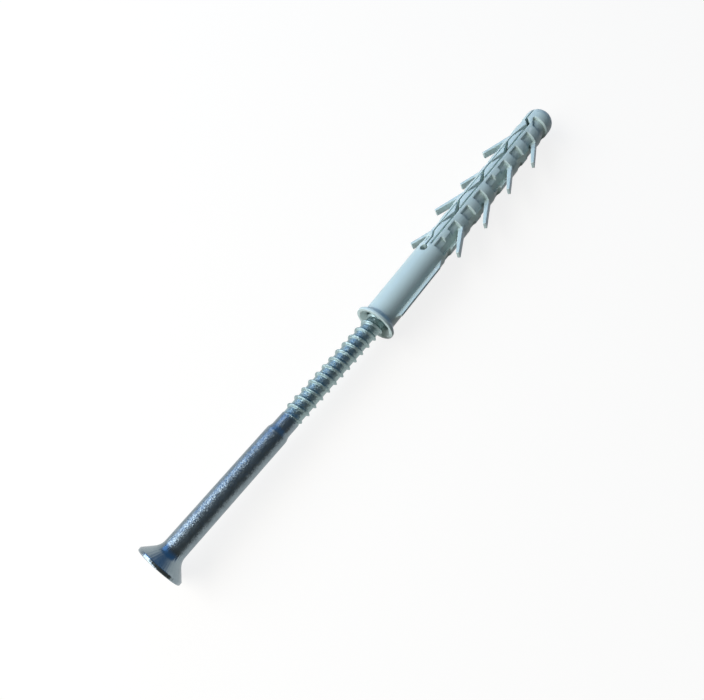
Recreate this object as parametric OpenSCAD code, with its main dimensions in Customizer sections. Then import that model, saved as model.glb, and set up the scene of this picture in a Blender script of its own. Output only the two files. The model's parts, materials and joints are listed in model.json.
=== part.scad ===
// Frame fixing: a countersunk coarse-thread screw started in a moulded expansion plug.
// It lies as it comes to rest on a flat surface, on the screw head, the plug's collar and one barb.
// X runs along the plug towards its tip, Z is up, and the origin is on the surface, under the middle.

/* [Plug collar and sleeve] */
// Outside diameter of the sleeve and of the expansion zone
sleeve_d = 10; // [9:0.1:12]
// Length from the collar's front face to the expansion zone
sleeve_l = 31.35; // [26:0.05:60]
// Outside diameter of the collar
collar_d = 13.2; // [12.6:0.1:16]
// Thickness of the collar's rim
collar_land = 0.9; // [0.5:0.1:2]
// Width of the flat ring on the collar's front face
collar_ring = 1.0; // [0.4:0.1:1.6]
// Length of the taper from the sleeve's bore down to the narrow bore
bore_step_l = 2.0; // [1:0.1:4]
// Diameter of the narrow bore that the screw spreads
narrow_bore_d = 4.8; // [4.4:0.1:5.4]

/* [Sleeve fins] */
// Thickness of each fin that stops the plug from turning
fin_t = 0.8; // [0.5:0.1:1.6]
// Height of a fin above the sleeve
fin_h = 1.5; // [0.5:0.1:2]
// Distance from the collar's front face to the fins
fin_start = 4.5; // [4:0.1:10]
// Distance from the end of the fins to the expansion zone
fin_end_gap = 1.4; // [0.5:0.1:6]
// Length of a fin's ramp at the collar end
fin_ramp_in = 1.5; // [0.5:0.1:4]
// Length of a fin's ramp at the tip end
fin_ramp_out = 3.2; // [0.5:0.1:6]

/* [Expansion zone] */
// Distance from one band to the next
band_pitch = 7.55; // [7:0.05:9]
// Number of bands
band_count = 9; // [5:2:13]
// Length of each pocket between two bands
pocket_l = 4.05; // [2:0.05:5]
// Depth of each pocket
pocket_depth = 0.9; // [0.3:0.05:1.1]
// Width of the land along the slot, across both rails
land_w = 4.9; // [4.6:0.1:6.4]
// Width of the land's tongue at the tip
tongue_w = 2.4; // [1.6:0.1:5]
// Length of the tip beyond the last band
tip_l = 2.85; // [2:0.05:8]
// Radius of the tip's rounded edge
tip_round = 3.6; // [1:0.1:5]
// Diameter of the hole in the tip
tip_hole_d = 2.6; // [2.4:0.1:2.8]
// Length of that hole
tip_hole_l = 4.5; // [4:0.1:8]

/* [Zigzag slot] */
// Width of the slot
slot_w = 0.6; // [0.4:0.05:0.8]
// Diameter of the round hole at the slot's end
slot_hole_d = 2.5; // [1.5:0.1:4]
// Distance from that hole to the expansion zone
slot_hole_setback = 2.1; // [2:0.1:4]
// Sideways swing of the slot from the middle
slot_swing = 1.25; // [0.8:0.05:1.35]
// Distance from the start of the expansion zone to the first long run
slot_lead = 5.3; // [4:0.05:6]
// Length of each long run of the slot
slot_long_run = 2.65; // [2:0.05:3.5]
// Length of each short run of the slot
slot_short_run = 2.15; // [1.5:0.05:3]
// Length of the slot's ramp from a long run to a short one
slot_fall = 5.4; // [4.5:0.05:6]
// Length of the slot's last ramp, at the tip
slot_last_rise = 2.6; // [2:0.1:4]
// Distance from the start of a fall to the tip of the tooth that hangs over the short run
tooth_l = 6.95; // [6:0.05:7.5]
// Length of the steep flank behind that tip
tooth_back_l = 5.05; // [3:0.05:5.4]
// Gap between that tip and the slot's other side
tooth_gap = 0.95; // [0.6:0.05:1.2]
// Width of the crease at the foot of each tooth
crease_w = 0.5; // [0.2:0.05:0.6]
// Depth of that crease
crease_depth = 0.7; // [0.3:0.05:1]
// Distance between the ends of a crease and the slot's runs
crease_gap = 0.5; // [0.4:0.1:1.5]

/* [Barbs] */
// Length of a barb along the axis
barb_l = 10.2; // [7:0.1:12]
// How far a barb's end stands out from its root
barb_spread = 5.45; // [3.5:0.05:7]
// Height of a barb
barb_h = 2.3; // [1:0.1:2.8]
// Height of a barb's outer face above the middle of the plug, or below it for the lower barbs
barb_rise = 1.85; // [1.4:0.05:2.2]
// Thickness of a barb at its root
barb_root_t = 1.7; // [1.2:0.1:2.1]
// Thickness of a barb at its end
barb_end_t = 1.0; // [0.6:0.1:1.6]
// Length by which a barb runs on into the plug, past the middle of its root
barb_root_in = 1.2; // [0.8:0.1:1.4]
// Depth of the flat that a barb folds against
flat_depth = 1.45; // [0.8:0.05:1.55]

/* [Screw] */
// Length of the screw over its head
screw_l = 105; // [90:0.5:140]
// Diameter of the countersunk head
head_d = 14.2; // [13.4:0.1:16]
// Thickness of the head's rim
head_land = 1.0; // [0.6:0.1:1.5]
// Bevel on the front edge of that rim
head_bevel = 0.35; // [0.1:0.05:0.5]
// Radius of the fillet under the head
head_fillet = 4.0; // [1:0.1:5]
// Diameter of the plain shank
shank_d = 6.9; // [6.2:0.1:7.2]
// Length of the shank, from the face of the head
shank_l = 46.3; // [30:0.1:60]
// Diameter of the neck between the shank and the thread
neck_d = 6.0; // [5.8:0.1:6.2]
// Length of the taper from the shank to the neck
neck_taper_l = 1.4; // [0.5:0.1:4]
// Length of the neck, up to the thread
neck_l = 3.3; // [2:0.1:8]
// Outside diameter of the thread
thread_d = 7.0; // [6.6:0.1:7.2]
// Diameter of the core under the thread
core_d = 5.6; // [5.2:0.1:5.8]
// Distance from one turn of the thread to the next
thread_pitch = 3.08; // [2.5:0.02:4]
// Width of the thread's foot
thread_foot = 1.25; // [0.8:0.05:1.6]
// Width of the thread's crest
thread_crest = 0.2; // [0.1:0.05:0.4]
// Length of the conical point
point_l = 5.5; // [3:0.1:8]
// Width of the drive recess across its lobes
drive_d = 6.7; // [4.5:0.1:7.5]
// Diameter of each lobe of the drive recess
drive_lobe_d = 1.5; // [1:0.1:1.8]
// Depth of the drive recess
drive_depth = 3.0; // [1.5:0.1:3.5]

/* [Screw started in the plug] */
// How far the screw's point lies inside the collar's front face
start_depth = 14.15; // [12:0.05:22]
// Room between the thread and the sleeve's bore, on each side
thread_play = 0.46; // [0.3:0.02:0.6]
// What is left of that room on the tight side when the screw leans
lean_gap = 0.1; // [0.06:0.02:0.2]

/* [Hidden] */
$fn = 64;

plug_colour = "#A9BCC4";
zinc_colour = "#B4BCC2";
// Lengths by which a cut passes through the surface it opens, and by which one solid sinks into another
through = 1;
sink = 0.15;

// Plug, worked out along its axis from the collar's front face
sleeve_r = sleeve_d / 2;
collar_r = collar_d / 2;
bore_r = thread_d / 2 + thread_play;
narrow_bore_r = narrow_bore_d / 2;
tip_hole_r = tip_hole_d / 2;
bowl_r = collar_r - collar_ring;
bowl_depth = bowl_r - bore_r;
collar_back = collar_land + collar_r - sleeve_r;
bore_end = sleeve_l - slot_hole_setback - slot_hole_d / 2;
plug_l = sleeve_l + band_count * band_pitch + tip_l;
station_count = floor(band_count / 2);
station_pitch = 2 * band_pitch;

// Slot and creases
slot_hole_x = sleeve_l - slot_hole_setback;
slot_rise = station_pitch - slot_long_run - slot_fall - slot_short_run;
long_run_x = sleeve_l + slot_lead;
short_run_x = long_run_x + slot_long_run + slot_fall;
crease_y = slot_swing + (slot_w - crease_w) / 2;

// Barbs: middle of the root and of the end, and the end's outer corner
barb_root_x = band_pitch + pocket_l;
barb_root_y = sleeve_r - barb_root_t / 2;
barb_angle = atan2(barb_spread, barb_l);
barb_reach = barb_root_y + barb_spread + barb_end_t / 2 * cos(barb_angle);
barb_corner_x = -barb_l + barb_end_t / 2 * sin(barb_angle);
barb_low = barb_rise - barb_h;

// Screw, worked out along its axis from the face of the head
head_r = head_d / 2;
shank_r = shank_d / 2;
neck_r = neck_d / 2;
thread_r = thread_d / 2;
core_r = core_d / 2;
thread_start = shank_l + neck_taper_l + neck_l;
point_start = screw_l - point_l;
fillet_turn = 45;
fillet_reach = head_fillet * tan(fillet_turn / 2);
cone_end = head_land + head_r - shank_r;
thread_steps = 24;
thread_run_in = 0.75;
core_start = thread_start + thread_run_in * thread_pitch / 2;

// Lean of the screw: it tips in the collar's mouth until the end of its full thread comes near the bore
lean = atan2(thread_play - lean_gap, start_depth - point_l);
mouth_to_head = screw_l - start_depth;

// Rest: the head's rim, the collar's rim and the end of one lower barb touch the surface
rest_barb = station_count - 2;
rest_pitch = atan2(head_r - collar_r, mouth_to_head * cos(lean) - head_land + collar_land);
barb_corner_r = norm([barb_reach, barb_rise]);
barb_corner_angle = atan2(barb_rise, barb_reach);
rest_corner_x = sleeve_l + barb_root_x + rest_barb * station_pitch + barb_corner_x;
axis_drop = (rest_corner_x - collar_land) * sin(rest_pitch);
rest_roll = asin((collar_r - axis_drop) / barb_corner_r) - barb_corner_angle;
side_reach = barb_corner_r * cos(rest_roll - barb_corner_angle);
head_side = mouth_to_head * sin(lean) + head_r * cos(lean);
middle_x = (plug_l - mouth_to_head * cos(lean) - head_r * sin(lean)) / 2;
middle_y = (max(head_side, side_reach) - side_reach) / 2;

function heading(path, i) = atan2(path[i + 1].y - path[i].y, path[i + 1].x - path[i].x);

// Point of a band's edge beside point i of its path, mitred at the corner
function band_edge(path, i, half_w) =
    let (
        last = len(path) - 2,
        heading_in = heading(path, max(i - 1, 0)),
        heading_out = heading(path, min(i, last)),
        middle = (heading_in + heading_out) / 2,
        mitre = half_w / cos((heading_out - heading_in) / 2)
    )
    path[i] + mitre * [-sin(middle), cos(middle)];

module path_band(path, w) {
    corners = [0 : len(path) - 1];
    one_edge = [for (i = corners) band_edge(path, i, w / 2)];
    other_edge = [for (i = corners) band_edge(path, len(path) - 1 - i, -w / 2)];
    polygon(concat(one_edge, other_edge));
}

// Turns a profile drawn as [distance along the axis, radius] about the X axis
module turn_profile(points) {
    rotate([0, 90, 0])
        rotate_extrude()
            polygon([for (p = points) [p.y, p.x]]);
}

// Repeats its children on the two opposite sides of the plug
module both_sides() {
    for (turn = [0, 180])
        rotate([turn, 0, 0])
            children();
}

module plug_blank() {
    tip_r = min(tip_round, sleeve_r - tip_hole_r);
    tip_points = [
        for (a = [90 : -15 : 0])
            [plug_l - tip_r + tip_r * cos(a), sleeve_r - tip_r + tip_r * sin(a)]
    ];
    turn_profile(concat(
        [
            [0, bowl_r],
            [0, collar_r],
            [collar_land, collar_r],
            [collar_back, sleeve_r]
        ],
        tip_points,
        [
            [plug_l, tip_hole_r],
            [plug_l - tip_hole_l, tip_hole_r],
            [plug_l - tip_hole_l - narrow_bore_r + tip_hole_r, narrow_bore_r],
            [bore_end + bore_step_l, narrow_bore_r],
            [bore_end, bore_r],
            [bowl_depth, bore_r]
        ]
    ));
}

module fin() {
    fin_end = sleeve_l - fin_end_gap;
    foot_y = sleeve_r - 2 * sink;
    top_y = sleeve_r + fin_h;
    translate([0, 0, -fin_t / 2])
        linear_extrude(fin_t)
            polygon([
                [fin_start, foot_y],
                [fin_start, sleeve_r],
                [fin_start + fin_ramp_in, top_y],
                [fin_end - fin_ramp_out, top_y],
                [fin_end, sleeve_r],
                [fin_end, foot_y]
            ]);
}

// Land along the slot in plan. Beside the slot's last swing it narrows to a tongue on one side.
module land_plan() {
    last_rise_x = long_run_x + station_count * station_pitch - slot_rise;
    polygon([
        [0, land_w / 2],
        [0, -land_w / 2],
        [last_rise_x, -land_w / 2],
        [last_rise_x + slot_last_rise, -tongue_w / 2],
        [plug_l, -tongue_w / 2],
        [plug_l, land_w / 2]
    ]);
}

// Ring pockets between the bands, kept off the land along the slot
module pockets() {
    difference() {
        for (i = [0 : band_count - 1])
            turn_profile([
                [sleeve_l + i * band_pitch, sleeve_r - pocket_depth],
                [sleeve_l + i * band_pitch, sleeve_r + through],
                [sleeve_l + i * band_pitch + pocket_l, sleeve_r + through],
                [sleeve_l + i * band_pitch + pocket_l, sleeve_r - pocket_depth]
            ]);
        both_sides()
            linear_extrude(sleeve_d)
                land_plan();
    }
}

// Room between one pointed tooth and the slot's other side, in plan, from the start of its fall
module beside_tooth(fall_x, rise, back_l) {
    run_x = fall_x + slot_fall;
    run_end = run_x + slot_short_run;
    tooth_y = slot_swing + slot_w / 2;
    polygon([
        [fall_x, tooth_y],
        [run_x, -slot_swing],
        [run_end, -slot_swing],
        [run_end + rise, slot_swing],
        [fall_x + tooth_l + back_l, tooth_y],
        [fall_x + tooth_l, tooth_gap - tooth_y]
    ]);
}

// Slot through one wall of the plug: straight from its hole, then swinging from side to side
module slot_cut() {
    swings = [
        for (k = [0 : station_count - 1])
            let (x = long_run_x + k * station_pitch)
            each [
                [x, slot_swing],
                [x + slot_long_run, slot_swing],
                [x + slot_long_run + slot_fall, -slot_swing],
                [x + slot_long_run + slot_fall + slot_short_run, -slot_swing]
            ]
    ];
    last_corner = 4 * station_count - 1;
    zigzag = [for (i = [0 : last_corner]) swings[i]];
    path = concat(
        [[slot_hole_x, 0], [long_run_x - slot_rise / 2, 0]],
        zigzag,
        [
            [swings[last_corner].x + slot_last_rise, slot_swing],
            [plug_l + through, slot_swing]
        ]
    );
    linear_extrude(sleeve_r + through) {
        path_band(path, slot_w);
        for (k = [0 : station_count - 1])
            let (fall_x = long_run_x + slot_long_run + k * station_pitch)
            if (k < station_count - 1)
                beside_tooth(fall_x, slot_rise, tooth_back_l);
            else
                beside_tooth(fall_x, slot_last_rise, slot_last_rise);
    }
    translate([slot_hole_x, 0, 0])
        cylinder(d = slot_hole_d, h = sleeve_r + through);
}

module crease(from_x, to_x, y) {
    surface_z = sqrt(sleeve_r * sleeve_r - y * y);
    translate([from_x, y - crease_w / 2, surface_z - crease_depth])
        cube([to_x - from_x, crease_w, crease_depth + through]);
}

// Creases at the feet of the teeth, on both halves of the land, but not on the last tooth
module creases() {
    crease(sleeve_l + crease_gap, long_run_x - slot_rise / 2, crease_y);
    for (k = [0 : station_count - 1]) {
        long_end = long_run_x + slot_long_run + k * station_pitch;
        short_x = short_run_x + k * station_pitch;
        short_before = short_x - station_pitch + slot_short_run;
        crease_x = k == 0 ? sleeve_l : short_before + crease_gap;
        crease(crease_x, short_x - crease_gap, -crease_y);
        if (k < station_count - 1)
            crease(long_end + crease_gap, long_end + tooth_l + tooth_back_l - crease_gap, crease_y);
    }
}

// One barb in plan, from the middle of its root
module barb_plan() {
    root_in = barb_root_in * [cos(barb_angle), -sin(barb_angle)];
    root_along = barb_root_t / 2 * [sin(barb_angle), cos(barb_angle)];
    end_along = barb_end_t / 2 * [sin(barb_angle), cos(barb_angle)];
    end_middle = [-barb_l, barb_spread];
    polygon([
        root_in + root_along,
        end_middle + end_along,
        end_middle - end_along,
        root_in - root_along
    ]);
}

// Calls its child at each barb on the +Y side, turned over where the barb lies on the lower level
module at_barbs() {
    for (j = [0 : station_count - 1]) {
        lower = (station_count - j) % 2 == 0 ? 1 : 0;
        translate([sleeve_l + barb_root_x + j * station_pitch, 0, 0])
            mirror([0, 0, lower])
                children();
    }
}

module barb() {
    translate([0, barb_root_y, barb_low])
        linear_extrude(barb_h)
            barb_plan();
}

// Flat beside a barb, from the pocket before its end up to its root
module barb_flat() {
    translate([-barb_root_x, sleeve_r - flat_depth, barb_low])
        cube([barb_root_x, flat_depth + through, sleeve_r]);
}

module plug_in_line() {
    difference() {
        plug_blank();
        pockets();
        both_sides() {
            slot_cut();
            creases();
            at_barbs()
                barb_flat();
        }
    }
    both_sides() {
        fin();
        at_barbs()
            barb();
    }
}

module screw_blank() {
    fillet_points = [
        for (a = [0 : 9 : fillet_turn])
            [
                cone_end + fillet_reach - head_fillet * sin(a),
                shank_r + head_fillet * (1 - cos(a))
            ]
    ];
    fillet_count = len(fillet_points);
    turn_profile(concat(
        [
            [0, 0],
            [0, head_r - head_bevel],
            [head_bevel, head_r],
            [head_land, head_r]
        ],
        [for (i = [1 : fillet_count]) fillet_points[fillet_count - i]],
        [
            [shank_l, shank_r],
            [shank_l + neck_taper_l, neck_r],
            [core_start, neck_r],
            [core_start + neck_r - core_r, core_r],
            [point_start, core_r],
            [screw_l, 0]
        ]
    ));
}

// Right-hand thread: four corners of its section, carried round and along the core
module thread() {
    thread_l = point_start - thread_start - thread_foot;
    turns = thread_l / thread_pitch;
    last = floor(turns * thread_steps);
    foot_r = core_r - sink;
    sections = [
        for (i = [0 : last])
            let (
                turn = i / thread_steps,
                rise = min(1, turn / thread_run_in, (last - i) / thread_steps / thread_run_in),
                top_r = foot_r + sink / 2 + (thread_r - foot_r - sink / 2) * rise,
                x = thread_start + thread_foot / 2 + turn * thread_pitch
            )
            for (c = [
                [-thread_foot / 2, foot_r],
                [-thread_crest / 2, top_r],
                [thread_crest / 2, top_r],
                [thread_foot / 2, foot_r]
            ])
                [x + c.x, c.y * cos(360 * turn), c.y * sin(360 * turn)]
    ];
    sides = [
        for (i = [0 : last - 1], c = [0 : 3])
            let (
                a = 4 * i + c,
                b = 4 * i + (c + 1) % 4
            )
            each [[a, b, b + 4], [a, b + 4, a + 4]]
    ];
    end = 4 * last;
    caps = [[3, 2, 1, 0], [end, end + 1, end + 2, end + 3]];
    polyhedron(sections, concat(sides, caps));
}

// Six-lobe recess for the driver
module drive_recess() {
    lobe_r = drive_lobe_d / 2;
    lobe_ring = drive_d / 2 - lobe_r;
    rotate([0, 90, 0])
        translate([0, 0, -through])
            linear_extrude(drive_depth + through) {
                circle(lobe_ring);
                for (a = [0 : 60 : 300])
                    rotate(a)
                        translate([lobe_ring, 0])
                            circle(lobe_r);
            }
}

module screw_in_line() {
    difference() {
        screw_blank();
        drive_recess();
    }
    thread();
}

// Lays what is drawn along the plug's axis down on the surface
module lay_down() {
    translate([-middle_x, -middle_y, 0])
        translate([collar_land, 0, collar_r])
            rotate([0, rest_pitch, 0])
                translate([-collar_land, 0, 0])
                    children();
}

module expansion_plug() {
    color(plug_colour)
        lay_down()
            rotate([-rest_roll, 0, 0])
                plug_in_line();
}

module countersunk_screw() {
    color(zinc_colour)
        lay_down()
            rotate([0, 0, -lean])
                translate([-mouth_to_head, 0, 0])
                    screw_in_line();
}

expansion_plug();
countersunk_screw();
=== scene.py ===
# %% [markdown]
# # A frame fixing: a zinc plated screw started in a moulded plug
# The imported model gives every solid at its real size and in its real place. This lesson dresses it:
# it keeps the frame as it is, and adds a camera, light, a softer plug, a finer screw and two finishes.

# %% Load the frame
import json
import math

import bmesh
import bpy
from mathutils import Euler, Matrix, Vector


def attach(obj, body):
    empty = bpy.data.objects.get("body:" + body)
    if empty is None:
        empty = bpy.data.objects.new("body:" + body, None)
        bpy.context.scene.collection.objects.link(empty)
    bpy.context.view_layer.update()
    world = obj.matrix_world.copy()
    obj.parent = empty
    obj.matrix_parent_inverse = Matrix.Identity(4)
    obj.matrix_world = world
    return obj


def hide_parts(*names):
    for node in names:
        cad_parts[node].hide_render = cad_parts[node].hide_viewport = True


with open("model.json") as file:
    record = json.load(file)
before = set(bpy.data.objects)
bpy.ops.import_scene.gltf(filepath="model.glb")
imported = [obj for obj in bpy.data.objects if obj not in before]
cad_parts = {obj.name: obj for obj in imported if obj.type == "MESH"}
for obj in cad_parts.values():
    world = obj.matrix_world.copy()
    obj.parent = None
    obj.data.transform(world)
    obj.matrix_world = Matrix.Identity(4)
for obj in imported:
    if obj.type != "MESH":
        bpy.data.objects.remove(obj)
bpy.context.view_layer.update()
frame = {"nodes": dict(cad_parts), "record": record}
MM = 0.001

# %% [markdown]
# ## The camera
# The fixing was photographed from above, from the side of the screw's head. A camera could be placed by
# eye, but the direction, distance and lens below were worked out from the outline of the real one, so
# the drawn outline falls on the photographed one. The lens keeps its shift at zero.

# %% Camera
SENSOR_MM = 36
LENS_MM = 33.614
VIEW_AZIMUTH = math.radians(-53.445)
VIEW_ELEVATION = math.radians(66.199)
VIEW_DISTANCE = 195.986 * MM
VIEW_TARGET = Vector((-16.582, -0.219, 6.8)) * MM
NEAREST_SEEN = 10 * MM


def direction(azimuth, elevation):
    """Unit vector towards a place round the object: azimuth 0 is the -Y side, 90 degrees the +X side."""
    level = math.cos(elevation)
    return Vector((level * math.sin(azimuth), -level * math.cos(azimuth), math.sin(elevation)))


camera = bpy.data.objects.new("camera", bpy.data.cameras.new("camera"))
bpy.context.scene.collection.objects.link(camera)
bpy.context.scene.camera = camera
towards_camera = direction(VIEW_AZIMUTH, VIEW_ELEVATION)
camera.location = VIEW_TARGET + towards_camera * VIEW_DISTANCE
camera.rotation_mode = "QUATERNION"
camera.rotation_quaternion = (-towards_camera).to_track_quat("-Z", "Y")
camera.data.sensor_width = SENSOR_MM
camera.data.lens = LENS_MM
camera.data.clip_start = NEAREST_SEEN
print("camera at mm:", [round(x / MM, 1) for x in camera.location])

# %% [markdown]
# ## Colours and nodes
# A colour is easiest to read as the hex value a paint program shows, which is in sRGB. Shaders add and
# multiply light, so they need linear values, and one function does that change for every colour here.
# A material is a small graph, and one more function adds a node to it with its settings and links.

# %% Helpers for colours and nodes
# Sockets of a mix node that mixes colours
MIX_A = 6
MIX_B = 7
MIX_RESULT = 2


def linear(hex_colour):
    """Linear RGBA of an sRGB hex colour."""
    channels = [int(hex_colour[i:i + 2], 16) / 255 for i in (1, 3, 5)]
    return [c / 12.92 if c <= 0.04045 else ((c + 0.055) / 1.055) ** 2.4 for c in channels] + [1.0]


def add(tree, kind, inputs=None, **settings):
    """Adds a node. A socket given as an input is linked, and any other value is set."""
    node = tree.nodes.new(kind)
    for name, value in settings.items():
        setattr(node, name, value)
    for name, value in (inputs or {}).items():
        if isinstance(value, bpy.types.NodeSocket):
            tree.links.new(value, node.inputs[name])
        else:
            node.inputs[name].default_value = value
    return node


def per_metre(size_mm):
    """Scale of a pattern whose features are this many millimetres wide."""
    return 1 / (size_mm * MM)


def new_material(name):
    """An empty material, its node tree and its output node."""
    material = bpy.data.materials.new(name)
    material.use_nodes = True
    material.node_tree.nodes.clear()
    output = add(material.node_tree, "ShaderNodeOutputMaterial")
    return material, material.node_tree, output


print("white is", linear("#FFFFFF"))

# %% [markdown]
# ## The floor
# The background is plain and white, like a sheet of paper in a light tent. Lamps that turn paper fully
# white would wash out the fixing. So the paper is written as a grey one, and most of its white is light of
# its own, for the rays that see it: the camera's and those that the metal mirrors. It lights nothing else.
# What the paper loses under the fixing stays lost, as the shadow.

# %% Floor
FLOOR_HALF_WIDTH = 3.0
PAPER = linear("#78746C")
PAPER_LIFT = 0.84
WHITE = linear("#FFFFFF")

floor_mesh = bpy.data.meshes.new("paper_floor")
signs = [(-1, -1), (1, -1), (1, 1), (-1, 1)]
corners = [(x * FLOOR_HALF_WIDTH, y * FLOOR_HALF_WIDTH, 0) for x, y in signs]
floor_mesh.from_pydata(corners, [], [(0, 1, 2, 3)])
floor = bpy.data.objects.new("paper_floor", floor_mesh)
bpy.context.scene.collection.objects.link(floor)

paper, tree, output = new_material("matt white paper")
rays = add(tree, "ShaderNodeLightPath")
seen = add(tree, "ShaderNodeMath", {0: rays.outputs["Is Camera Ray"], 1: rays.outputs["Is Glossy Ray"]},
           operation="MAXIMUM")
seen = add(tree, "ShaderNodeMath", {0: seen.outputs[0], 1: rays.outputs["Is Transmission Ray"]},
           operation="MAXIMUM")
lift = add(tree, "ShaderNodeMath", {0: seen.outputs[0], 1: PAPER_LIFT}, operation="MULTIPLY")
matt = add(tree, "ShaderNodeBsdfDiffuse", {"Color": PAPER})
glow = add(tree, "ShaderNodeEmission", {"Color": WHITE, "Strength": lift.outputs[0]})
both = add(tree, "ShaderNodeAddShader", {0: matt.outputs[0], 1: glow.outputs[0]})
tree.links.new(both.outputs[0], output.inputs["Surface"])
floor_mesh.materials.append(paper)
print("floor is", 2 * FLOOR_HALF_WIDTH, "m wide")

# %% [markdown]
# ## The room
# Plastic shows light by its shading, and metal shows the room itself, so the room matters as much as the
# lamps. An evenly bright one would make the screw look white all over. This one is dim, which draws a dark
# band along the shank, and blue beyond the plug's tip, which tints the metal that faces that way.

# %% World
ZENITH = linear("#545450")
HORIZON = linear("#58544C")
FAR_BLUE = linear("#4672A0")
ROOM_STRENGTH = 1.0
# Heights, and places towards the tip, between which the room changes: 0 is level or beside, 1 full on
ZENITH_FROM = 0.5
BLUE_FROM = 0.2
BLUE_FULL = 0.8

world = bpy.data.worlds.new("studio room")
bpy.context.scene.world = world
world.use_nodes = True
tree = world.node_tree
tree.nodes.clear()
towards = add(tree, "ShaderNodeTexCoord")
place = add(tree, "ShaderNodeSeparateXYZ", {0: towards.outputs["Generated"]})
height = add(tree, "ShaderNodeMapRange", {
    "Value": place.outputs["Z"], "From Min": 0.0, "From Max": ZENITH_FROM})
room = add(tree, "ShaderNodeMix", {0: height.outputs[0], MIX_A: HORIZON, MIX_B: ZENITH}, data_type="RGBA")
beyond = add(tree, "ShaderNodeMapRange", {
    "Value": place.outputs["X"], "From Min": BLUE_FROM, "From Max": BLUE_FULL})
room = add(tree, "ShaderNodeMix", {
    0: beyond.outputs[0], MIX_A: room.outputs[MIX_RESULT], MIX_B: FAR_BLUE}, data_type="RGBA")
glow = add(tree, "ShaderNodeBackground", {"Color": room.outputs[MIX_RESULT], "Strength": ROOM_STRENGTH})
output = add(tree, "ShaderNodeOutputWorld", {"Surface": glow.outputs[0]})
print("world is", world.name)

# %% [markdown]
# ## The lamps
# The light in the picture comes from a window. A sun lamp would draw hard edges, so two wide softboxes do
# it: one low on the left of the head, as the camera sees it, lights nearly everything and draws the silver
# band along the shank. A weaker blue one on the far side stands for the sky and cools the edges.

# %% Lamps
AIM = Vector((-20, 0, 6)) * MM


def softbox(name, azimuth, elevation, distance, width, depth, watts, colour):
    """A rectangular lamp that faces the fixing."""
    lamp = bpy.data.lights.new(name, "AREA")
    lamp.shape = "RECTANGLE"
    lamp.size = width
    lamp.size_y = depth
    lamp.energy = watts
    lamp.color = linear(colour)[:3]
    holder = bpy.data.objects.new(name, lamp)
    bpy.context.scene.collection.objects.link(holder)
    place = direction(math.radians(azimuth), math.radians(elevation))
    holder.location = AIM + place * distance
    holder.rotation_mode = "QUATERNION"
    holder.rotation_quaternion = place.to_track_quat("Z", "Y")
    holder.visible_camera = False
    return holder


softbox("window", azimuth=224, elevation=35, distance=0.8, width=1.0, depth=0.6, watts=10.6, colour="#F6F9FF")
softbox("sky", azimuth=160, elevation=28, distance=0.8, width=0.8, depth=0.4, watts=1.9, colour="#72ABF5")

# %% [markdown]
# ## Moulded polyamide
# The plug is injection moulded from polyamide, a tough nylon tinted light grey. The steel mould leaves a
# satin skin with a very fine grain, and sharp edges come out slightly rounded. Their pale line is a painted
# highlight: the colour turns paler where the surface is pointed. A plain colour would look like paint, so the
# tint drifts a little along the plug, the gloss is uneven, and a fine bump breaks the highlights.
# Polyamide's index of refraction is about 1.53.

# %% Material for the plug
GREY_TINT = linear("#C2D5D0")
GREY_TINT_DEEP = linear("#BBCFCA")
GREY_EDGE_HIGHLIGHT = linear("#D6E3DF")
TINT_DRIFT_MM = 14
MOULD_GRAIN_MM = 0.22
MOULD_GRAIN_HEIGHT = 0.004 * MM
POLYAMIDE_IOR = 1.53
SATIN_SMOOTHEST = 0.36
SATIN_ROUGHEST = 0.5
# A flat face has a pointiness of 0.5; above it, edges turn to the paler colour, a painted highlight
EDGE_HIGHLIGHT_FROM = 0.52
EDGE_HIGHLIGHT_FULL = 0.6
# Noise stays near 0.5, so a tint runs from one colour to the other between these
TINT_FROM = 0.3
TINT_FULL = 0.7

polyamide, tree, output = new_material("moulded polyamide")
place = add(tree, "ShaderNodeTexCoord")
drift = add(tree, "ShaderNodeTexNoise", {
    "Vector": place.outputs["Object"], "Scale": per_metre(TINT_DRIFT_MM), "Detail": 2.0})
tint = add(tree, "ShaderNodeValToRGB", {0: drift.outputs["Fac"]})
tint.color_ramp.elements[0].position = TINT_FROM
tint.color_ramp.elements[0].color = GREY_TINT_DEEP
tint.color_ramp.elements[1].position = TINT_FULL
tint.color_ramp.elements[1].color = GREY_TINT
shape = add(tree, "ShaderNodeNewGeometry")
edge_highlight_mask = add(tree, "ShaderNodeMapRange", {
    "Value": shape.outputs["Pointiness"], "From Min": EDGE_HIGHLIGHT_FROM, "From Max": EDGE_HIGHLIGHT_FULL})
# Painted highlight: convex edges turn to the paler edge colour
colour = add(tree, "ShaderNodeMix", {
    0: edge_highlight_mask.outputs[0], MIX_A: tint.outputs["Color"], MIX_B: GREY_EDGE_HIGHLIGHT}, data_type="RGBA")
grain = add(tree, "ShaderNodeTexNoise", {
    "Vector": place.outputs["Object"], "Scale": per_metre(MOULD_GRAIN_MM), "Detail": 3.0})
gloss = add(tree, "ShaderNodeMapRange", {
    "Value": grain.outputs["Fac"], "To Min": SATIN_SMOOTHEST, "To Max": SATIN_ROUGHEST})
bump = add(tree, "ShaderNodeBump", {
    "Height": grain.outputs["Fac"], "Strength": 1.0, "Distance": MOULD_GRAIN_HEIGHT})
skin = add(tree, "ShaderNodeBsdfPrincipled", {
    "Base Color": colour.outputs[MIX_RESULT], "Roughness": gloss.outputs[0], "IOR": POLYAMIDE_IOR,
    "Normal": bump.outputs["Normal"]})
tree.links.new(skin.outputs[0], output.inputs["Surface"])
print("made", polyamide.name)

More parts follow.
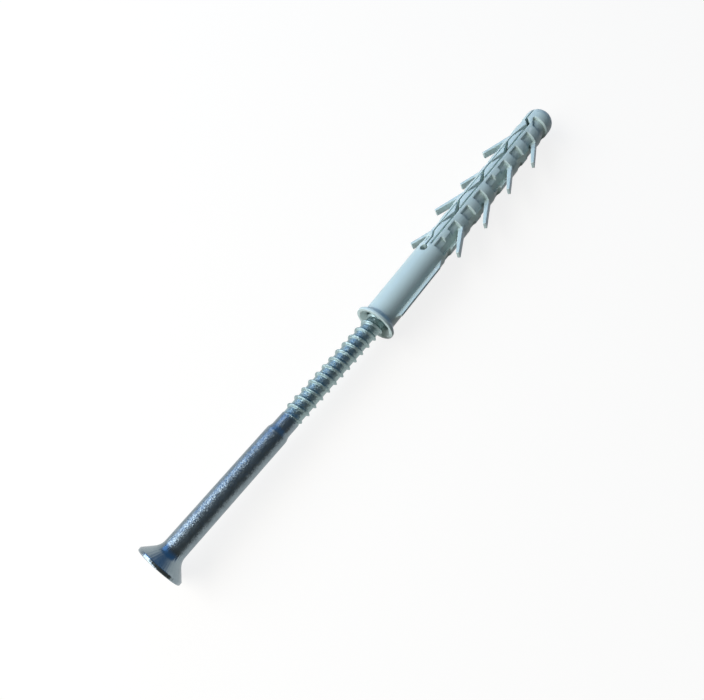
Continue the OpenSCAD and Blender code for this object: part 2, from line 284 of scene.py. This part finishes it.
# %% [markdown]
# ## Bright zinc on steel
# The screw is cold formed steel, plated in a zinc bath and passivated, which leaves a bluish metal that
# glitters: the plate grows as fine crystals, and each one mirrors the room at its own angle. A mirror with a
# blurred reflection would miss that, so a Voronoi pattern stands for the crystals, and each cell leans its
# own way. They are drawn coarser than real ones, which would be too fine to show. The head was pressed
# smooth by its die, so the glitter fades out there, and drawn-out streaks run up its cone. The thread was
# rolled, which leaves it a little rougher and more broken up; its paler zinc is a painted sheen that
# brightens its reflection.

# %% Zinc: where along the screw the finish changes
SMOOTH_UNTIL = 5.6 * MM
GLITTER_FROM = 6.6 * MM
ROLLED_FROM = 51.5 * MM
ROLLED_FULL = 52.5 * MM

zinc, tree, output = new_material("bright zinc plated steel")
place = add(tree, "ShaderNodeTexCoord")
parts = add(tree, "ShaderNodeSeparateXYZ", {0: place.outputs["Object"]})
on_head = add(tree, "ShaderNodeMapRange", {
    "Value": parts.outputs["X"], "From Min": SMOOTH_UNTIL, "From Max": GLITTER_FROM,
    "To Min": 1.0, "To Max": 0.0})
rolled = add(tree, "ShaderNodeMapRange", {
    "Value": parts.outputs["X"], "From Min": ROLLED_FROM, "From Max": ROLLED_FULL})
print("glitter starts", GLITTER_FROM / MM, "mm from the face of the head")

# %% Zinc: streaks of the die and leaning crystals
CRYSTAL_MM = 0.14
CRYSTAL_TILT = 0.4
ROLLED_TILT = 0.2
STREAK_HEIGHT = 0.14 * MM
STREAKS_PER_RADIAN = 7
MIDDLE = (0.5, 0.5, 0.5)

across = add(tree, "ShaderNodeCombineXYZ", {"Y": parts.outputs["Y"], "Z": parts.outputs["Z"]})
around = add(tree, "ShaderNodeVectorMath", {0: across.outputs[0]}, operation="NORMALIZE")
streaks = add(tree, "ShaderNodeTexNoise", {
    "Vector": around.outputs[0], "Scale": STREAKS_PER_RADIAN, "Detail": 2.0})
pressed = add(tree, "ShaderNodeBump", {
    "Height": streaks.outputs["Fac"], "Strength": on_head.outputs[0], "Distance": STREAK_HEIGHT})
tilt = add(tree, "ShaderNodeMapRange", {
    "Value": parts.outputs["X"], "From Min": SMOOTH_UNTIL, "From Max": GLITTER_FROM,
    "To Min": 0.0, "To Max": CRYSTAL_TILT})
tilt = add(tree, "ShaderNodeMath", {0: rolled.outputs[0], 1: ROLLED_TILT, 2: tilt.outputs[0]},
           operation="MULTIPLY_ADD")
crystals = add(tree, "ShaderNodeTexVoronoi", {
    "Vector": place.outputs["Object"], "Scale": per_metre(CRYSTAL_MM)})
lean = add(tree, "ShaderNodeVectorMath", {0: crystals.outputs["Color"], 1: MIDDLE}, operation="SUBTRACT")
lean = add(tree, "ShaderNodeVectorMath", {0: lean.outputs[0], "Scale": tilt.outputs[0]}, operation="SCALE")
facing = add(tree, "ShaderNodeVectorMath", {0: pressed.outputs["Normal"], 1: lean.outputs[0]},
             operation="ADD")
facing = add(tree, "ShaderNodeVectorMath", {0: facing.outputs[0]}, operation="NORMALIZE")
print("crystals are", CRYSTAL_MM, "mm wide")

# %% Zinc: colour, gloss and shader
ZINC = linear("#8C9AA0")
ZINC_DEEP = linear("#7E8C92")
# A paler zinc for the thread, a painted sheen
ZINC_ROLLED_SHEEN = linear("#97ACAC")
CLOUD_MM = 3.0
HEAD_ROUGHNESS = 0.27
PLATE_ROUGHNESS = 0.36
# How much rougher the thread is than the plate on the shank
ROLLED_ROUGHNESS = 0.05

clouds = add(tree, "ShaderNodeTexNoise", {
    "Vector": place.outputs["Object"], "Scale": per_metre(CLOUD_MM), "Detail": 3.0})
tint = add(tree, "ShaderNodeValToRGB", {0: clouds.outputs["Fac"]})
tint.color_ramp.elements[0].position = TINT_FROM
tint.color_ramp.elements[0].color = ZINC_DEEP
tint.color_ramp.elements[1].position = TINT_FULL
tint.color_ramp.elements[1].color = ZINC
# The thread turns to the paler zinc, a painted sheen
colour = add(tree, "ShaderNodeMix", {
    0: rolled.outputs[0], MIX_A: tint.outputs["Color"], MIX_B: ZINC_ROLLED_SHEEN}, data_type="RGBA")
gloss = add(tree, "ShaderNodeMapRange", {
    "Value": parts.outputs["X"], "From Min": SMOOTH_UNTIL, "From Max": GLITTER_FROM,
    "To Min": HEAD_ROUGHNESS, "To Max": PLATE_ROUGHNESS})
gloss = add(tree, "ShaderNodeMath", {0: rolled.outputs[0], 1: ROLLED_ROUGHNESS, 2: gloss.outputs[0]},
            operation="MULTIPLY_ADD")
plate = add(tree, "ShaderNodeBsdfPrincipled", {
    "Base Color": colour.outputs[MIX_RESULT], "Metallic": 1.0, "Roughness": gloss.outputs[0],
    "Normal": facing.outputs[0]})
tree.links.new(plate.outputs[0], output.inputs["Surface"])
print("made", zinc.name)

# %% [markdown]
# ## The plug
# On the real plug no edge is sharp: the mould's corners are rounded by a tenth or two of a millimetre, and
# those small rounds catch the light. A bevel modifier would have to follow every cut. Instead a copy of
# the solid is turned into a fine grid of voxels and back, and smoothed a little, which rounds all edges
# alike, the way melted plastic does. The copy lies at a slant in the grid, so that no flat face runs along
# it and shows steps. Decimation then drops the points that flat faces don't need.

# %% Plug with moulded edges
VOXEL = 0.12 * MM
SLANT = Euler((0.6, 0.5, 0.4)).to_matrix().to_4x4()
ROUNDING_FACTOR = 0.5
ROUNDING_PASSES = 2
PLUG_TRIANGLES = 195000


def link_piece(name, mesh, material):
    """A new object of the given mesh, with its material and smooth shading."""
    piece = bpy.data.objects.new(name, mesh)
    bpy.context.scene.collection.objects.link(piece)
    mesh.materials.clear()
    mesh.materials.append(material)
    mesh.shade_smooth()
    return piece


def settled_mesh(piece):
    """The mesh of a piece with its modifiers applied."""
    graph = bpy.context.evaluated_depsgraph_get()
    return bpy.data.meshes.new_from_object(piece.evaluated_get(graph))


rough = bpy.data.objects.new("plug_rough", frame["nodes"]["expansion_plug"].data.copy())
rough.data.transform(SLANT)
bpy.context.scene.collection.objects.link(rough)
remesh = rough.modifiers.new("fine grid", "REMESH")
remesh.mode = "VOXEL"
remesh.voxel_size = VOXEL
soften = rough.modifiers.new("rounded edges", "SMOOTH")
soften.factor = ROUNDING_FACTOR
soften.iterations = ROUNDING_PASSES
dense_count = len(settled_mesh(rough).polygons)
thin_out = rough.modifiers.new("fewer points", "DECIMATE")
thin_out.ratio = PLUG_TRIANGLES / (2 * dense_count)
plug = link_piece("moulded_plug", settled_mesh(rough), polyamide)
plug.data.transform(SLANT.inverted())
bpy.data.objects.remove(rough)
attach(plug, "root")
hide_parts("expansion_plug")
print("plug:", dense_count, "fine quads, then", len(plug.data.polygons), "faces")

# %% [markdown]
# ## The screw
# A screw like this is headed from wire, and its thread is rolled between two dies, which leaves a
# rounded crest and rounded roots. Its body could be a lathe or spin modifier; here the turned profile is
# carried round in code, so every ring is where the drawing says. The thread is one section carried
# along a helix, and a boolean joins the two and takes the driver's recess out of the head.

# %% Sizes of the screw, in millimetres from the face of the head
SCREW_L = 105
HEAD_R = 7.1
HEAD_LAND = 1.0
HEAD_BEVEL = 0.35
HEAD_FILLET = 4.0
SHANK_R = 3.45
SHANK_L = 46.3
NECK_R = 3.0
NECK_TAPER_L = 1.4
NECK_END = 52.15
THREAD_START = 51.6
THREAD_R = 3.5
CORE_R = 2.8
THREAD_PITCH = 3.08
THREAD_HALF_WIDTH = 0.8
THREAD_RUN_IN = 0.75
POINT_L = 5.5
EDGE_ROUND = 0.15
STEP_ROUND = 0.4

point_start = SCREW_L - POINT_L
print("screw is", SCREW_L, "mm long, and its point starts at", point_start)

# %% Rounded profiles and turned solids
LATHE_STEPS = 128
CORNER_STEPS = 8


def softened(corners):
    """A profile of rounded corners, each given as its place, its radius and the reach of its curve."""
    points = []
    for i, (x, r, reach) in enumerate(corners):
        corner = Vector((x, r))
        if reach == 0:
            points.append(corner)
            continue
        back = (Vector(corners[i - 1][:2]) - corner).normalized() * reach
        onward = (Vector(corners[i + 1][:2]) - corner).normalized() * reach
        shares = [j / CORNER_STEPS for j in range(CORNER_STEPS + 1)]
        points += [corner + back * (1 - t) ** 2 + onward * t ** 2 for t in shares]
    return points


def skin_rings(rings):
    """A closed mesh over rings of points: quads between neighbours and a cap on each end."""
    count = len(rings[0])
    mesh = bpy.data.meshes.new("rings")
    faces = []
    for i in range(len(rings) - 1):
        for j in range(count):
            k = (j + 1) % count
            faces.append((i * count + j, i * count + k, (i + 1) * count + k, (i + 1) * count + j))
    last = (len(rings) - 1) * count
    faces.append(tuple(reversed(range(count))))
    faces.append(tuple(range(last, last + count)))
    mesh.from_pydata([p for ring in rings for p in ring], [], faces)
    work = bmesh.new()
    work.from_mesh(mesh)
    bmesh.ops.recalc_face_normals(work, faces=work.faces)
    work.to_mesh(mesh)
    work.free()
    return mesh


def turned(profile):
    """A solid of revolution about X. The profile's points are (place along the axis, radius)."""
    turns = [2 * math.pi * j / LATHE_STEPS for j in range(LATHE_STEPS)]
    return skin_rings([[(x, r * math.cos(a), r * math.sin(a)) for a in turns] for x, r in profile])


print("a turned ring has", LATHE_STEPS, "points")

# %% Turned body
# A countersunk head has a cone of 90 degrees, so its side leans 45 degrees from the axis
CONE_LEAN = math.radians(45)
# The profile ends just off the axis, so that no ring shrinks to a point
AXIS_R = 0.05

cone_end = HEAD_LAND + HEAD_R - SHANK_R
fillet_reach = HEAD_FILLET * math.tan(CONE_LEAN / 2)
profile = softened([
    (0, AXIS_R, 0), (0, HEAD_R, HEAD_BEVEL), (HEAD_LAND, HEAD_R, EDGE_ROUND),
    (cone_end, SHANK_R, fillet_reach), (SHANK_L, SHANK_R, STEP_ROUND),
    (SHANK_L + NECK_TAPER_L, NECK_R, STEP_ROUND), (NECK_END, NECK_R, EDGE_ROUND),
    (NECK_END + NECK_R - CORE_R, CORE_R, EDGE_ROUND / 2), (point_start, CORE_R, STEP_ROUND),
    (SCREW_L, AXIS_R, 0)])
body = bpy.data.objects.new("screw_body", turned(profile))
print("turned body has", len(profile), "rings")

# %% Rolled thread
HELIX_STEPS = 64
SECTION_STEPS = 16
# The thread's foot lies a little below the core, so that the two solids overlap where they join
SINK = 0.05

foot_r = CORE_R - SINK


def thread_section(rise):
    """Section of the thread as (place along the axis, radius): one wave, from root over crest to root."""
    top = CORE_R - SINK / 2 + (THREAD_R - CORE_R + SINK / 2) * rise
    section = []
    for i in range(SECTION_STEPS + 1):
        share = 2 * i / SECTION_STEPS - 1
        wave = 0.5 + 0.5 * math.cos(math.pi * share)
        section.append((share * THREAD_HALF_WIDTH, foot_r + (top - foot_r) * wave))
    return section


thread_turns = (point_start - THREAD_HALF_WIDTH / 2 - THREAD_START) / THREAD_PITCH
last_step = math.floor(thread_turns * HELIX_STEPS)
sections = []
for i in range(last_step + 1):
    turn = i / HELIX_STEPS
    to_end = (last_step - i) / HELIX_STEPS
    rise = min(1, turn / THREAD_RUN_IN, to_end / THREAD_RUN_IN)
    x0 = THREAD_START + turn * THREAD_PITCH
    c = math.cos(2 * math.pi * turn)
    s = math.sin(2 * math.pi * turn)
    sections.append([(x0 + x, r * c, r * s) for x, r in thread_section(rise)])
thread = bpy.data.objects.new("screw_thread", skin_rings(sections))
print("thread has", len(sections), "sections")

# %% Driver's recess
DRIVE_LOBES = 6
DRIVE_R = 3.35
DRIVE_LOBE_R = 0.75
DRIVE_DEPTH = 3.0
# The recess ends in a shallow dish, this deep and this share as wide at its bottom
DISH_DEPTH = 0.6
DISH_SHARE = 0.35
RECESS_OUT = 1.0
OUTLINE_STEPS = 144

lobe_ring = DRIVE_R - DRIVE_LOBE_R


def recess_radius(angle):
    """Radius of the six-lobe outline at an angle: round lobes that blend into the hollows between."""
    wave = 0.5 + 0.5 * math.cos(DRIVE_LOBES * angle)
    return lobe_ring + (DRIVE_R - lobe_ring) * wave


outline = [2 * math.pi * i / OUTLINE_STEPS for i in range(OUTLINE_STEPS)]
levels = [(-RECESS_OUT, 1.0), (DRIVE_DEPTH, 1.0), (DRIVE_DEPTH + DISH_DEPTH, DISH_SHARE)]
recess = bpy.data.objects.new("screw_recess", skin_rings([
    [(x, share * recess_radius(a) * math.cos(a), share * recess_radius(a) * math.sin(a)) for a in outline]
    for x, share in levels]))
print("recess is", DRIVE_DEPTH + DISH_DEPTH, "mm deep")

# %% The screw put together and in its place
SHARP_ANGLE = math.radians(38)

for part in (body, thread, recess):
    bpy.context.scene.collection.objects.link(part)
for part, action in ((recess, "DIFFERENCE"), (thread, "UNION")):
    cut = body.modifiers.new(action.lower(), "BOOLEAN")
    cut.operation = action
    cut.object = part
    cut.solver = "MANIFOLD"

drive = next(m for m in frame["record"]["mounts"] if m["name"] == "drive_recess")
along = -Vector(drive["axis"]).normalized()
side = Vector((0, 0, 1)).cross(along).normalized()
up = along.cross(side)
screw_place = Matrix.Translation(drive["pos_m"]) @ Matrix((along, side, up)).transposed().to_4x4()
screw_mesh = settled_mesh(body)
screw_mesh.transform(Matrix.Scale(MM, 4))
screw = link_piece("zinc_screw", screw_mesh, zinc)
screw.matrix_world = screw_place
screw_mesh.set_sharp_from_angle(angle=SHARP_ANGLE)
for part in (body, thread, recess):
    bpy.data.objects.remove(part)
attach(screw, "root")
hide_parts("countersunk_screw")
print("screw has", len(screw_mesh.polygons), "faces")

# %% [markdown]
# ## Last look
# The colours go to the picture as they are, with no film curve.

# %% Colour of the picture
bpy.context.scene.view_settings.view_transform = "Standard"
